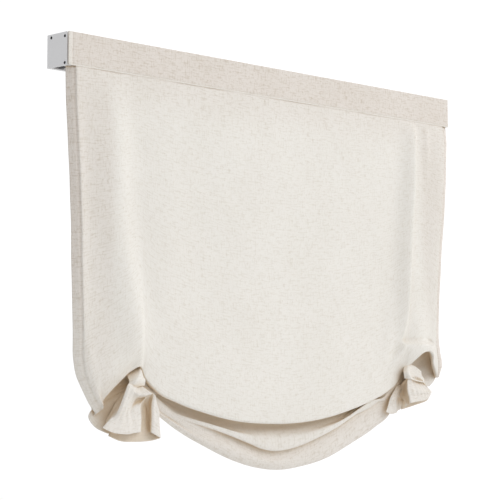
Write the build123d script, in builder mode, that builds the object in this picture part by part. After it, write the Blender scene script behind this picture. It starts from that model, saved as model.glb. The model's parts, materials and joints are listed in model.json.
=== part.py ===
"""Relaxed roman blind on an aluminium headrail, with a motor drive inside the rail.

Millimetres. The origin is the centre of the four wall screws' pattern, on the wall's face.
+X runs along the rail to the right, as seen from the room. +Y points into the wall. +Z is up.
"""

import os
from math import cos, pi, radians, sin, tan

from build123d import *

os.makedirs("parts", exist_ok=True)

SIDES = ((-1, "left"), (1, "right"))
LOW = (Align.CENTER, Align.CENTER, Align.MIN)

# ---- Driving dimensions ----------------------------------------------------------------------

blind_width = 1000.0  # over the end caps, and the width of the linen at the heading
gather_drop = 535.0  # from the rail's underside to the middle of the tied rings
column_inset = 157.0  # from each side of the blind to its column of rings
lift_travel = 400.0  # how far the tied rings rise

# Headrail extrusion
rail_height = 57.0
rail_depth = 53.0
rail_wall = 1.6
rail_corner = 1.0
front_lip = 13.0
back_lip = 9.0
slot_front_gap = 1.4  # between the front screw port and the wall of the bracket slot
slot_back_gap = 4.1  # between the slot's back wall and the back screw port
slot_lip = 3.6  # each lip over the bracket slot
slot_height = 4.4
port_radius = 3.2
port_bore_radius = 1.5
port_web = 2.4
front_port_in = 6.2  # from the rail's front to its two front screw ports
front_port_drop = 7.2  # from the rail's top to the upper front port
front_port_rise = 4.6  # from the rail's underside to the lower front port
back_port_in = 10.5
back_port_drop = 5.7

# End caps and their screws
cap_thickness = 2.5
cap_tongue = (24.0, 1.2, 4.0)  # height, thickness and reach into the rail
cap_tongue_clearance = 0.15
screw_shank_radius = 1.45
screw_head_radius = 2.6
screw_length = 12.0
screw_hole_clearance = 0.25
screw_head_clearance = 0.15
driver_slot = (0.6, 2.6, 0.9)  # width, length and depth of each arm of the cross

# Wall brackets
bracket_steel = 2.0
bracket_width = 30.0
bracket_spacing = 760.0
bracket_hole_radius = 2.6
bracket_hole_spacing = 22.0
bracket_hole_below_top = 14.0  # from the rail's top to the upper screw
bracket_leg_margin = 10.0  # from the lower screw to the leg's end
bracket_set_back = 9.0  # from the rail's front to the bracket's front edge
bracket_bend = 3.0
hook_neck = 1.8
hook_reach = 5.0
hook_thickness = 2.0
hook_clearance = 0.3
screw_head_gap = 4.0  # between the bracket's leg and the rail's back

# Hook and loop strips, heading
strip_height = 25.0
strip_thickness = 1.3
strip_end_gap = 6.0
heading_thickness = 2.0
heading_edge_round = 0.8

# Linen and lining
linen_thickness = 1.2
lining_thickness = 0.8
lining_gap = 0.3
lining_side_inset = 32.0
lining_below_gather = 11.0
return_width = 20.0
return_thickness = 2.4
return_angles = {-1: 60.0, 1: 20.0}  # how far each side return is bent back
side_straight_drop = {-1: 505.0, 1: 480.0}
side_pull_in = 22.0
# The panel's lower corners: how far outside the column, and how far below the gather
side_corners = {-1: (97.0, 42.0), 1: (100.0, 2.0)}
rail_to_linen = 0.5

# Swag: each layer's front and back plane behind the linen's face, and its sag below the gather
swag_layers = ((-4.0, 8.0, 50.0, 66.0), (4.0, 16.0, 55.0, 120.0), (14.0, 28.0, 65.0, 150.0))
swag_tip_inset = 18.0  # from the column to the layers' tips
swag_tip_drop = (17.0, 40.0)  # the tips' top and bottom below the gather

# Tails: the middle's distance outside the column, the width at the hem, the hem below the gather
tails = {-1: (42.0, 160.0, 88.0), 1: (17.0, 130.0, 70.0)}
tail_neck = (26.0, 10.0)
tail_neck_above_gather = 8.0
tail_hem_depth = 24.0
tail_hem_round = 10.0

# Rings, cord and its stop
ring_radius = 5.5
ring_wire_radius = 1.0
ring_gap = 0.3  # between a ring and the lining that it is sewn to
ring_rows = ("upper", "middle", "lower")
tied_ring_pitch = 4.0
cord_radius = 0.7
stop_radius = 5.0
stop_height = 14.0
stop_bore_radius = 0.9
stop_bore_depth = 8.0
stop_gap = 0.3
cord_bend_share = 0.45  # the arc's tangent length as a share of the shorter run

# Drive in the rail
shaft_side = 6.0
shaft_above_lips = 23.9  # from the lips' upper faces to the shaft's axis
shaft_end_gap = 28.0  # from the blind's side to the shaft's end
square_bore_clearance = 0.1
running_clearance = 0.05
barrel_radius = 10.0
barrel_length = 30.0
flange_radius = 12.5
flange_thickness = 1.6
journal_radius = 7.0
journal_length = 5.4
cheek_thickness = 4.0
cheek_gap = 0.4
cheek_width = 24.0
cord_to_lip = 3.1  # from the front lip's edge to the cord where it leaves the barrel
cord_stand_off = 0.2  # between the cord and the barrel
seat_thickness = 2.0
seat_front_gap = 0.6  # between a seat and the front screw port
seat_back_gap = 0.6
cradle_overhang = 3.0
exit_radius = 2.5
clip_leg = 1.4
clip_foot = 3.4
clip_width = 8.0
clip_gap = 0.3
clip_offset = 16.0

# Motor
motor_length = 160.0
motor_height = 40.0
motor_round = 3.0
sleeve_radius = 9.0
sleeve_overhang = 4.0
motor_clip_offset = 55.0
motor_clip_length = 14.0
motor_clip_wall = 2.0
motor_clip_height = 22.0
motor_clip_gap = 0.2
motor_clip_inset = 0.3  # from the seat's edge to the clip's wall

# End bearings
bush_radius = 6.0
bush_length = 10.0
bush_flange_radius = 8.0
bush_flange = 1.5
bearing_thickness = 4.0
bearing_inset = 34.0  # from the blind's side to the bearing plate's outer face
bearing_width = 30.0
bearing_foot = 16.0
bearing_gap = 0.3

# ---- Planes and places that follow from them ---------------------------------------------------

rail_back_y = -(bracket_steel + screw_head_gap)
rail_front_y = rail_back_y - rail_depth
rail_mid_y = (rail_front_y + rail_back_y) / 2
rail_top_z = bracket_hole_spacing / 2 + bracket_hole_below_top
rail_bottom_z = rail_top_z - rail_height
rail_mid_z = (rail_top_z + rail_bottom_z) / 2
rail_span = blind_width - 2 * cap_thickness
slot_roof_z = rail_top_z - rail_wall
slot_floor_z = slot_roof_z - slot_height
lip_z = rail_bottom_z + rail_wall
front_lip_y = rail_front_y + front_lip
back_lip_y = rail_back_y - back_lip

# Screw ports: place, and the side of the port that its web runs to
front_port_y = rail_front_y + front_port_in
back_port_y = rail_back_y - back_port_in
ports = (
    (front_port_y, rail_top_z - front_port_drop, "front"),
    (front_port_y, rail_bottom_z + front_port_rise, "front"),
    (back_port_y, rail_top_z - back_port_drop, "top"),
)

# The bracket slot fills the room between the front and back ports
slot_front_y = front_port_y + port_radius + slot_front_gap + rail_wall
slot_back_y = back_port_y - port_radius - slot_back_gap - rail_wall
slot_y = (slot_front_y + slot_back_y) / 2
slot_inside = slot_back_y - slot_front_y
slot_mouth = slot_inside - 2 * slot_lip

column_x = blind_width / 2 - column_inset
hook_y = rail_front_y - strip_thickness
loop_y = hook_y - strip_thickness
linen_y = loop_y - heading_thickness
linen_back_y = linen_y + linen_thickness
lining_y = linen_back_y + lining_gap
lining_back_y = lining_y + lining_thickness
gather_z = rail_bottom_z - gather_drop
ring_reach = ring_radius + ring_wire_radius
ring_y = lining_back_y + ring_gap + ring_reach

shaft_y = front_lip_y + cord_to_lip + cord_stand_off + cord_radius + barrel_radius
shaft_z = lip_z + shaft_above_lips
cord_y = shaft_y - barrel_radius - cord_stand_off - cord_radius
square_bore = shaft_side + square_bore_clearance
seat_front_y = front_port_y + port_radius + seat_front_gap
seat_back_y = rail_back_y - rail_wall - seat_back_gap
seat_mid_y = (seat_front_y + seat_back_y) / 2
seat_depth = seat_back_y - seat_front_y
seat_top_z = lip_z + seat_thickness

# The motor is centred on the shaft, so the nearer of the seat's edges sets its width
motor_room = min(shaft_y - seat_front_y, seat_back_y - shaft_y)
motor_width = 2 * (motor_room - motor_clip_inset - motor_clip_wall - motor_clip_gap)


def row_z(row):
    """Height of a row of rings: the rows share the drop evenly, down to the tied rings."""
    return rail_bottom_z - gather_drop * row / (len(ring_rows) + 1)


# ---- Headrail ----------------------------------------------------------------------------------

with BuildPart() as headrail:
    with BuildSketch(Plane.YZ.offset(-rail_span / 2)) as section:
        with Locations((rail_mid_y, rail_mid_z)):
            Rectangle(rail_depth, rail_height)
        fillet(section.vertices(), rail_corner)
        with Locations((rail_mid_y, rail_mid_z)):
            Rectangle(rail_depth - 2 * rail_wall, rail_height - 2 * rail_wall, mode=Mode.SUBTRACT)
        # The open underside, between the two lips
        with Locations(((front_lip_y + back_lip_y) / 2, rail_bottom_z)):
            Rectangle(back_lip_y - front_lip_y, 4 * rail_wall, mode=Mode.SUBTRACT)
        # The bracket slot along the top
        with Locations((slot_y, (rail_top_z + slot_floor_z - rail_wall) / 2)):
            Rectangle(slot_inside + 2 * rail_wall, 2 * rail_wall + slot_height)
        with Locations((slot_y, (slot_roof_z + slot_floor_z) / 2)):
            Rectangle(slot_inside, slot_height, mode=Mode.SUBTRACT)
        with Locations((slot_y, rail_top_z)):
            Rectangle(slot_mouth, 4 * rail_wall, mode=Mode.SUBTRACT)
        for port_y, port_z, web_to in ports:
            with Locations((port_y, port_z)):
                Circle(port_radius)
            if web_to == "front":
                with Locations(((rail_front_y + rail_wall / 2 + port_y) / 2, port_z)):
                    Rectangle(port_y - rail_front_y - rail_wall / 2, port_web)
            else:
                with Locations((port_y, (rail_top_z - rail_wall / 2 + port_z) / 2)):
                    Rectangle(port_web, rail_top_z - rail_wall / 2 - port_z)
            with Locations((port_y, port_z)):
                Circle(port_bore_radius, mode=Mode.SUBTRACT)
    extrude(amount=rail_span)
headrail.part.label = "headrail"
export_step(headrail.part, "parts/headrail.step")

# ---- End caps and their screws -----------------------------------------------------------------

head_height = screw_head_radius - screw_shank_radius
tongue_height, tongue_thickness, tongue_reach = cap_tongue
tongue_inset = rail_wall + cap_tongue_clearance + tongue_thickness / 2
slot_width, slot_length, slot_depth = driver_slot

for side, hand in SIDES:
    outer_x = side * blind_width / 2
    inner_x = outer_x - side * cap_thickness
    with BuildPart() as end_cap:
        with BuildSketch(Plane.YZ.offset(inner_x)) as plate:
            with Locations((rail_mid_y, rail_mid_z)):
                Rectangle(rail_depth, rail_height)
            fillet(plate.vertices(), rail_corner)
        extrude(amount=side * cap_thickness)
        # Two tongues inside the rail's front and back walls
        with BuildSketch(Plane.YZ.offset(inner_x)):
            with Locations(
                (rail_front_y + tongue_inset, rail_mid_z),
                (rail_back_y - tongue_inset, rail_mid_z),
            ):
                Rectangle(tongue_thickness, tongue_height)
        extrude(amount=-side * tongue_reach)
        for port_y, port_z, _ in ports:
            with Locations(Plane((outer_x, port_y, port_z), z_dir=(side, 0, 0))):
                CounterSinkHole(
                    radius=screw_shank_radius + screw_hole_clearance,
                    counter_sink_radius=screw_head_radius + screw_head_clearance,
                    depth=2 * cap_thickness,
                    counter_sink_angle=90,
                )
    end_cap.part.label = f"end_cap_{hand}"
    export_step(end_cap.part, f"parts/end_cap_{hand}.step")

    with BuildPart() as cap_screws:
        for port_y, port_z, _ in ports:
            with Locations(Plane((outer_x, port_y, port_z), z_dir=(-side, 0, 0))):
                Cone(screw_head_radius, screw_shank_radius, head_height, align=LOW)
                Cylinder(screw_shank_radius, screw_length, align=LOW)
                Box(slot_width, slot_length, slot_depth, align=LOW, mode=Mode.SUBTRACT)
                Box(slot_length, slot_width, slot_depth, align=LOW, mode=Mode.SUBTRACT)
    cap_screws.part.label = f"end_cap_screws_{hand}"
    export_step(cap_screws.part, f"parts/end_cap_screws_{hand}.step")

# ---- Wall brackets -----------------------------------------------------------------------------

bracket_front_y = rail_front_y + bracket_set_back
bracket_top_z = rail_top_z + bracket_steel
leg_end_z = -bracket_hole_spacing / 2 - bracket_leg_margin
foot_top_z = slot_roof_z - hook_clearance

for side, hand in SIDES:
    bracket_x = side * bracket_spacing / 2
    with BuildPart() as bracket:
        with BuildSketch(Plane.YZ.offset(bracket_x - bracket_width / 2)) as profile:
            with BuildLine():
                Polyline(
                    (bracket_front_y, rail_top_z),
                    (bracket_front_y, bracket_top_z),
                    (0, bracket_top_z),
                    (0, leg_end_z),
                    (-bracket_steel, leg_end_z),
                    (-bracket_steel, rail_top_z),
                    close=True,
                )
            make_face()
            fillet(profile.vertices().group_by(Axis.X)[-1].sort_by(Axis.Y)[-1], bracket_bend)
            # Two hooks, back to back, under the slot's lips
            for way in (-1, 1):
                neck_y = slot_y + way * (slot_mouth / 2 - hook_clearance - hook_neck / 2)
                foot_y = slot_y + way * (slot_mouth / 2 - hook_clearance - hook_neck + hook_reach / 2)
                with Locations((neck_y, (foot_top_z - hook_thickness + rail_top_z) / 2)):
                    Rectangle(hook_neck, rail_top_z - foot_top_z + hook_thickness)
                with Locations((foot_y, foot_top_z - hook_thickness / 2)):
                    Rectangle(hook_reach, hook_thickness)
        extrude(amount=bracket_width)
        for way in (-1, 1):
            screw_z = way * bracket_hole_spacing / 2
            with Locations(Plane((bracket_x, 0, screw_z), z_dir=(0, 1, 0))):
                Hole(bracket_hole_radius, depth=2 * bracket_steel)
        with Locations(Plane((bracket_x, slot_y, bracket_top_z), z_dir=(0, 0, 1))):
            Hole(bracket_hole_radius, depth=1.5 * bracket_steel)
    bracket.part.label = f"mounting_bracket_{hand}"
    export_step(bracket.part, f"parts/mounting_bracket_{hand}.step")

# ---- Hook and loop strips, heading ---------------------------------------------------------------

strip_length = blind_width - 2 * strip_end_gap

with BuildPart() as hook_strip:
    with BuildSketch(Plane.XY.offset(rail_mid_z - strip_height / 2)):
        with Locations((0, hook_y + strip_thickness / 2)):
            Rectangle(strip_length, strip_thickness)
    extrude(amount=strip_height)
hook_strip.part.label = "hook_strip"
export_step(hook_strip.part, "parts/hook_strip.step")

with BuildPart() as loop_strip:
    with BuildSketch(Plane.XY.offset(rail_mid_z - strip_height / 2)):
        with Locations((0, loop_y + strip_thickness / 2)):
            Rectangle(strip_length, strip_thickness)
    extrude(amount=strip_height)
loop_strip.part.label = "loop_strip"
export_step(loop_strip.part, "parts/loop_strip.step")

with BuildPart() as heading_band:
    with BuildSketch(Plane.XY.offset(rail_bottom_z)):
        with Locations((0, linen_y + heading_thickness / 2)):
            Rectangle(blind_width, heading_thickness)
    extrude(amount=rail_height)
    top_edges = heading_band.edges().filter_by(Axis.X).group_by(Axis.Z)[-1]
    fillet(top_edges, heading_edge_round)
heading_band.part.label = "heading_band"
export_step(heading_band.part, "parts/heading_band.step")

# ---- Linen ---------------------------------------------------------------------------------------

return_reach = {side: return_width * cos(radians(return_angles[side])) for side, _ in SIDES}
return_back = {side: return_width * sin(radians(return_angles[side])) for side, _ in SIDES}
crease_x = {side: side * (blind_width / 2 - return_reach[side]) for side, _ in SIDES}
linen_top_z = rail_bottom_z
side_low_z = {side: rail_bottom_z - side_straight_drop[side] for side, _ in SIDES}
corner_x = {side: side * (column_x + side_corners[side][0]) for side, _ in SIDES}
corner_z = {side: gather_z - side_corners[side][1] for side, _ in SIDES}
tip_x = column_x - swag_tip_inset
tip_top_z = gather_z - swag_tip_drop[0]
tip_low_z = gather_z - swag_tip_drop[1]
tail_foot_x = column_x + swag_tip_inset

with BuildPart() as face_fabric:
    # The front: straight sides that draw in towards the bottom, and a sagging lower edge
    with BuildSketch(Plane.XZ.offset(-linen_back_y)):
        with BuildLine():
            Polyline(
                (-tip_x, tip_low_z),
                (-tail_foot_x, tip_low_z),
                (corner_x[-1], corner_z[-1]),
                (crease_x[-1] + side_pull_in, side_low_z[-1]),
                (crease_x[-1], linen_top_z),
                (crease_x[1], linen_top_z),
                (crease_x[1] - side_pull_in, side_low_z[1]),
                (corner_x[1], corner_z[1]),
                (tail_foot_x, tip_low_z),
                (tip_x, tip_low_z),
            )
            ThreePointArc((tip_x, tip_low_z), (0, gather_z - swag_layers[0][3]), (-tip_x, tip_low_z))
        make_face()
    extrude(amount=linen_thickness)
    # The side returns, bent back at their creases
    for side, _ in SIDES:
        edge_x = crease_x[side] + side * return_reach[side]
        edge_y = linen_y + return_back[side]
        with BuildSketch(Plane.XY.offset(linen_top_z - rail_to_linen)):
            with BuildLine():
                Polyline(
                    (crease_x[side], linen_y),
                    (edge_x, edge_y),
                    (edge_x - side * return_thickness, edge_y),
                    (crease_x[side] - side * return_thickness, linen_y + linen_thickness / 2),
                    close=True,
                )
            make_face()
        lean = Vector(-side * side_pull_in, 0, -side_straight_drop[side])
        extrude(amount=lean.length, dir=lean.normalized())
    # The swag's three layers, each hanging lower behind the one before
    for front, back, upper_sag, lower_sag in swag_layers:
        with BuildSketch(Plane.XZ.offset(-(linen_y + back))):
            with BuildLine():
                Line((-tip_x, tip_top_z), (-tip_x, tip_low_z))
                ThreePointArc((-tip_x, tip_low_z), (0, gather_z - lower_sag), (tip_x, tip_low_z))
                Line((tip_x, tip_low_z), (tip_x, tip_top_z))
                ThreePointArc((tip_x, tip_top_z), (0, gather_z - upper_sag), (-tip_x, tip_top_z))
            make_face()
        extrude(amount=back - front)
    # The gathered tails in front of the columns
    for side, _ in SIDES:
        outside, hem_width, hem_drop = tails[side]
        neck_y = linen_back_y - tail_neck[1] / 2
        hem_y = linen_back_y - tail_hem_depth / 2
        with BuildSketch(Plane.XY.offset(gather_z + tail_neck_above_gather)) as neck:
            with Locations((side * column_x, neck_y)):
                Rectangle(*tail_neck)
            fillet(neck.vertices(), tail_neck[1] / 3)
        with BuildSketch(Plane.XY.offset(gather_z - hem_drop)) as hem:
            with Locations((side * (column_x + outside), hem_y)):
                Rectangle(hem_width, tail_hem_depth)
            fillet(hem.vertices(), tail_hem_round)
        loft()
face_fabric.part.label = "face_fabric"
export_step(face_fabric.part, "parts/face_fabric.step")

# ---- Lining ----------------------------------------------------------------------------------------

lining_x = blind_width / 2 - lining_side_inset
lining_low_z = gather_z - lining_below_gather

with BuildPart() as lining:
    with BuildSketch(Plane.XZ.offset(-lining_back_y)):
        with BuildLine():
            Polyline(
                (-lining_x, linen_top_z),
                (lining_x, linen_top_z),
                (lining_x - side_pull_in, side_low_z[1]),
                (column_x, lining_low_z),
                (-column_x, lining_low_z),
                (-lining_x + side_pull_in, side_low_z[-1]),
                close=True,
            )
        make_face()
    extrude(amount=lining_thickness)
lining.part.label = "lining"
export_step(lining.part, "parts/lining.step")

# ---- Rings -------------------------------------------------------------------------------------------

for row, row_name in enumerate(ring_rows, start=1):
    with BuildPart() as ring_row:
        for side, _ in SIDES:
            with Locations((side * column_x, ring_y, row_z(row))):
                Torus(ring_radius, ring_wire_radius)
    ring_row.part.label = f"ring_row_{row_name}"
    export_step(ring_row.part, f"parts/ring_row_{row_name}.step")

for side, hand in SIDES:
    with BuildPart() as gather_rings:
        for step in (-1, 0, 1):
            with Locations((side * column_x, ring_y, gather_z + step * tied_ring_pitch)):
                Torus(ring_radius, ring_wire_radius)
    gather_rings.part.label = f"gather_rings_{hand}"
    export_step(gather_rings.part, f"parts/gather_rings_{hand}.step")

# ---- Cord stops and lift cords -----------------------------------------------------------------------

stop_top_z = gather_z - tied_ring_pitch - ring_wire_radius - stop_gap
cord_end_z = stop_top_z - stop_bore_depth + stop_gap
first_ring_z = row_z(1)

for side, hand in SIDES:
    with BuildPart() as cord_stop:
        with Locations((side * column_x, ring_y, stop_top_z - stop_height)):
            Cylinder(stop_radius, stop_height, align=LOW)
        fillet(cord_stop.edges().filter_by(GeomType.CIRCLE), stop_radius / 4)
        with Locations(Plane((side * column_x, ring_y, stop_top_z), z_dir=(0, 0, 1))):
            Hole(stop_bore_radius, depth=stop_bore_depth)
    cord_stop.part.label = f"cord_stop_{hand}"
    export_step(cord_stop.part, f"parts/cord_stop_{hand}.step")

    # Taut from the barrel to the upper ring, then straight down through the other rings
    barrel_point = Vector(side * column_x, cord_y, shaft_z)
    ring_point = Vector(side * column_x, ring_y, first_ring_z)
    stop_point = Vector(side * column_x, ring_y, cord_end_z)
    turn = (ring_point - barrel_point).get_angle(stop_point - ring_point)
    upper_run = (ring_point - barrel_point).length
    bend_radius = cord_bend_share * upper_run / tan(radians(turn / 2))
    with BuildPart() as lift_cord:
        with BuildLine():
            route = FilletPolyline(barrel_point, ring_point, stop_point, radius=bend_radius)
        with BuildSketch(Plane(barrel_point, z_dir=route % 0)):
            Circle(cord_radius)
        sweep()
    print(
        f"lift cord {hand}: length {route.length:.1f}, bend radius {bend_radius:.0f},"
        f" volume {lift_cord.part.volume:.1f} of {route.length * pi * cord_radius**2:.1f}"
    )
    lift_cord.part.label = f"lift_cord_{hand}"
    export_step(lift_cord.part, f"parts/lift_cord_{hand}.step")

# ---- Drive: shaft, spools, cradles -------------------------------------------------------------------

shaft_length = blind_width - 2 * shaft_end_gap

with BuildPart() as drive_shaft:
    with BuildSketch(Plane.YZ.offset(-shaft_length / 2)):
        with Locations((shaft_y, shaft_z)):
            Rectangle(shaft_side, shaft_side)
    extrude(amount=shaft_length)
drive_shaft.part.label = "drive_shaft"
export_step(drive_shaft.part, "parts/drive_shaft.step")

journal_end = barrel_length / 2 + flange_thickness + journal_length
cheek_x = barrel_length / 2 + flange_thickness + cheek_gap + cheek_thickness / 2
cradle_length = 2 * (cheek_x + cheek_thickness / 2 + cradle_overhang)
cord_run = (first_ring_z - shaft_z) / (ring_y - cord_y)
exit_y = cord_y + (lip_z + seat_thickness / 2 - shaft_z) / cord_run

for side, hand in SIDES:
    spool_x = side * column_x
    with BuildPart() as spool:
        for radius, half_length in (
            (journal_radius, journal_end),
            (flange_radius, barrel_length / 2 + flange_thickness),
        ):
            with BuildSketch(Plane.YZ.offset(spool_x - half_length)):
                with Locations((shaft_y, shaft_z)):
                    Circle(radius)
            extrude(amount=2 * half_length)
        # The barrel between the flanges
        with BuildSketch(Plane.YZ.offset(spool_x - barrel_length / 2)):
            with Locations((shaft_y, shaft_z)):
                Circle(2 * flange_radius)
                Circle(barrel_radius, mode=Mode.SUBTRACT)
        extrude(amount=barrel_length, mode=Mode.SUBTRACT)
        with BuildSketch(Plane.YZ.offset(spool_x - journal_end)):
            with Locations((shaft_y, shaft_z)):
                Rectangle(square_bore, square_bore)
        extrude(amount=2 * journal_end, mode=Mode.SUBTRACT)
    spool.part.label = f"spool_{hand}"
    export_step(spool.part, f"parts/spool_{hand}.step")

    with BuildPart() as cradle:
        with BuildSketch(Plane.XY.offset(lip_z)):
            with Locations((spool_x, seat_mid_y)):
                Rectangle(cradle_length, seat_depth)
            with Locations((spool_x, exit_y)):
                Circle(exit_radius, mode=Mode.SUBTRACT)
        extrude(amount=seat_thickness)
        # The two cheeks that carry the spool's journals
        for way in (-1, 1):
            with BuildSketch(Plane.YZ.offset(spool_x + way * cheek_x - cheek_thickness / 2)):
                with Locations((shaft_y, (lip_z + shaft_z) / 2)):
                    Rectangle(cheek_width, shaft_z - lip_z)
                with Locations((shaft_y, shaft_z)):
                    Circle(cheek_width / 2)
                    Circle(journal_radius + running_clearance, mode=Mode.SUBTRACT)
            extrude(amount=cheek_thickness)
        # Clips that hook under the rail's two lips
        for clip_y, way in ((front_lip_y, -1), (back_lip_y, 1)):
            leg_y = clip_y - way * (clip_gap + clip_leg / 2)
            foot_y = clip_y - way * (clip_gap + clip_leg - clip_foot / 2)
            foot_top = rail_bottom_z - clip_gap
            for clip_x in (spool_x - clip_offset, spool_x + clip_offset):
                with Locations((clip_x, leg_y, foot_top - clip_leg)):
                    Box(clip_width, clip_leg, lip_z + seat_thickness / 2 - foot_top + clip_leg, align=LOW)
                with Locations((clip_x, foot_y, foot_top - clip_leg)):
                    Box(clip_width, clip_foot, clip_leg, align=LOW)
    cradle.part.label = f"spool_cradle_{hand}"
    export_step(cradle.part, f"parts/spool_cradle_{hand}.step")

# ---- End bearings --------------------------------------------------------------------------------------

for side, hand in SIDES:
    plate_x = side * (blind_width / 2 - bearing_inset) - side * bearing_thickness / 2
    with BuildPart() as bearing_plate:
        with BuildSketch(Plane.YZ.offset(plate_x - bearing_thickness / 2)):
            with Locations((shaft_y, (lip_z + shaft_z) / 2)):
                Rectangle(bearing_width, shaft_z - lip_z)
            with Locations((shaft_y, shaft_z)):
                Circle(bearing_width / 2)
                Circle(bush_radius + running_clearance, mode=Mode.SUBTRACT)
        extrude(amount=bearing_thickness)
        with BuildSketch(Plane.XY.offset(lip_z)):
            with Locations((plate_x, seat_mid_y)):
                Rectangle(bearing_foot, seat_depth)
        extrude(amount=seat_thickness)
    bearing_plate.part.label = f"bearing_plate_{hand}"
    export_step(bearing_plate.part, f"parts/bearing_plate_{hand}.step")

    flange_x = plate_x - side * (bearing_thickness / 2 + bearing_gap)
    with BuildPart() as shaft_bush:
        with BuildSketch(Plane.YZ.offset(flange_x)):
            with Locations((shaft_y, shaft_z)):
                Circle(bush_flange_radius)
                Rectangle(square_bore, square_bore, mode=Mode.SUBTRACT)
        extrude(amount=-side * bush_flange)
        with BuildSketch(Plane.YZ.offset(flange_x)):
            with Locations((shaft_y, shaft_z)):
                Circle(bush_radius)
                Rectangle(square_bore, square_bore, mode=Mode.SUBTRACT)
        extrude(amount=side * bush_length)
    shaft_bush.part.label = f"shaft_bush_{hand}"
    export_step(shaft_bush.part, f"parts/shaft_bush_{hand}.step")

# ---- Motor -----------------------------------------------------------------------------------------------

with BuildPart() as drive_motor:
    with BuildSketch(Plane.YZ.offset(-motor_length / 2)) as case:
        with Locations((shaft_y, seat_top_z + motor_height / 2)):
            Rectangle(motor_width, motor_height)
        fillet(case.vertices(), motor_round)
        with Locations((shaft_y, shaft_z)):
            Circle(sleeve_radius + running_clearance, mode=Mode.SUBTRACT)
    extrude(amount=motor_length)
    # A shallow step at each end, where the end covers meet the case
    for side, _ in SIDES:
        with BuildSketch(Plane.YZ.offset(side * (motor_length / 2 - motor_round))) as band:
            with Locations((shaft_y, seat_top_z + motor_height / 2)):
                Rectangle(2 * motor_width, 2 * motor_height)
                Rectangle(
                    motor_width - 2 * motor_clip_gap,
                    motor_height - 2 * motor_clip_gap,
                    mode=Mode.SUBTRACT,
                )
        extrude(amount=side * motor_clip_gap, mode=Mode.SUBTRACT)
drive_motor.part.label = "drive_motor"
export_step(drive_motor.part, "parts/drive_motor.step")

sleeve_length = motor_length + 2 * sleeve_overhang
with BuildPart() as drive_sleeve:
    with BuildSketch(Plane.YZ.offset(-sleeve_length / 2)):
        with Locations((shaft_y, shaft_z)):
            Circle(sleeve_radius)
            Rectangle(square_bore, square_bore, mode=Mode.SUBTRACT)
    extrude(amount=sleeve_length)
drive_sleeve.part.label = "drive_sleeve"
export_step(drive_sleeve.part, "parts/drive_sleeve.step")

for side, hand in SIDES:
    clip_x = side * motor_clip_offset
    with BuildPart() as motor_clip:
        with BuildSketch(Plane.XY.offset(lip_z)):
            with Locations((clip_x, seat_mid_y)):
                Rectangle(motor_clip_length, seat_depth)
        extrude(amount=seat_thickness)
        for way in (-1, 1):
            wall_y = shaft_y + way * (motor_width / 2 + motor_clip_gap + motor_clip_wall / 2)
            with BuildSketch(Plane.XY.offset(lip_z)):
                with Locations((clip_x, wall_y)):
                    Rectangle(motor_clip_length, motor_clip_wall)
            extrude(amount=seat_thickness + motor_clip_height)
        for clip_y, way in ((front_lip_y, -1), (back_lip_y, 1)):
            leg_y = clip_y - way * (clip_gap + clip_leg / 2)
            foot_y = clip_y - way * (clip_gap + clip_leg - clip_foot / 2)
            foot_top = rail_bottom_z - clip_gap
            with Locations((clip_x, leg_y, foot_top - clip_leg)):
                Box(clip_width, clip_leg, lip_z + seat_thickness / 2 - foot_top + clip_leg, align=LOW)
            with Locations((clip_x, foot_y, foot_top - clip_leg)):
                Box(clip_width, clip_foot, clip_leg, align=LOW)
    motor_clip.part.label = f"motor_clip_{hand}"
    export_step(motor_clip.part, f"parts/motor_clip_{hand}.step")

print(
    f"lift ratio {1000 / (barrel_radius + cord_stand_off + cord_radius):.3f} rad/m,"
    f" travel {lift_travel:.0f}, keep {1 - lift_travel / gather_drop:.4f},"
    f" rows at {[round(row_z(row), 2) for row in (1, 2, 3)]}, gather {gather_z:.2f},"
    f" shaft ({shaft_y:.2f}, {shaft_z:.2f}), rail z {rail_bottom_z:.1f} to {rail_top_z:.1f}, y {rail_front_y:.1f}"
)
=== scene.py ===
"""Relaxed linen roman blind: the cloth, threads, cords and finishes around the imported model.

Metres, in the blind's own frame: +X runs along the rail, +Y goes into the wall and +Z is up.
Outlines of the cloth are given in millimetres, because that is how a maker reads them.
"""

import json
import logging
from dataclasses import dataclass, field
from enum import Enum
from math import atan2, cos, hypot, pi, radians, sin
from typing import Sequence

import bpy
import numpy as np
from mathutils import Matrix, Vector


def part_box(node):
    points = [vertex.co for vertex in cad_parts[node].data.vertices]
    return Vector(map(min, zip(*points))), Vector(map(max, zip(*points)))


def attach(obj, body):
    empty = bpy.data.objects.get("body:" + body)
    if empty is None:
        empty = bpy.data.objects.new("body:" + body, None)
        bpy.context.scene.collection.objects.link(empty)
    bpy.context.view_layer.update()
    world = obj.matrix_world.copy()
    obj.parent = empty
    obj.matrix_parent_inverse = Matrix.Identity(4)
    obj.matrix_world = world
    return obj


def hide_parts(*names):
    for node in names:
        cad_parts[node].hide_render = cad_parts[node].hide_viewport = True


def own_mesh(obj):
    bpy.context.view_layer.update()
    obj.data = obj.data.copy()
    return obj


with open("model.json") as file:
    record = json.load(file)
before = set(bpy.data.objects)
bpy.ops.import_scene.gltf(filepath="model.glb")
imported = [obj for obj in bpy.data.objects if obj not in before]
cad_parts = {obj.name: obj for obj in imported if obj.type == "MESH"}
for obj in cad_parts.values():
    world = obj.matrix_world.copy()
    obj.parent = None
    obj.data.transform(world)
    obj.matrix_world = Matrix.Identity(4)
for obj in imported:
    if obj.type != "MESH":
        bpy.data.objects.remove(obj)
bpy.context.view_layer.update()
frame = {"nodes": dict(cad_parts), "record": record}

log = logging.getLogger("roman_blind")
MM = 0.001
# Where the linen is gathered at the tied rings: its depth, and its rise above their middle
KNOT_DEPTH = -64.8 * MM
KNOT_RISE = 7 * MM

Colour = tuple[float, float, float]
Points = Sequence[tuple[float, ...]]


# ---- Curves and surfaces -----------------------------------------------------------------------


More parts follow.
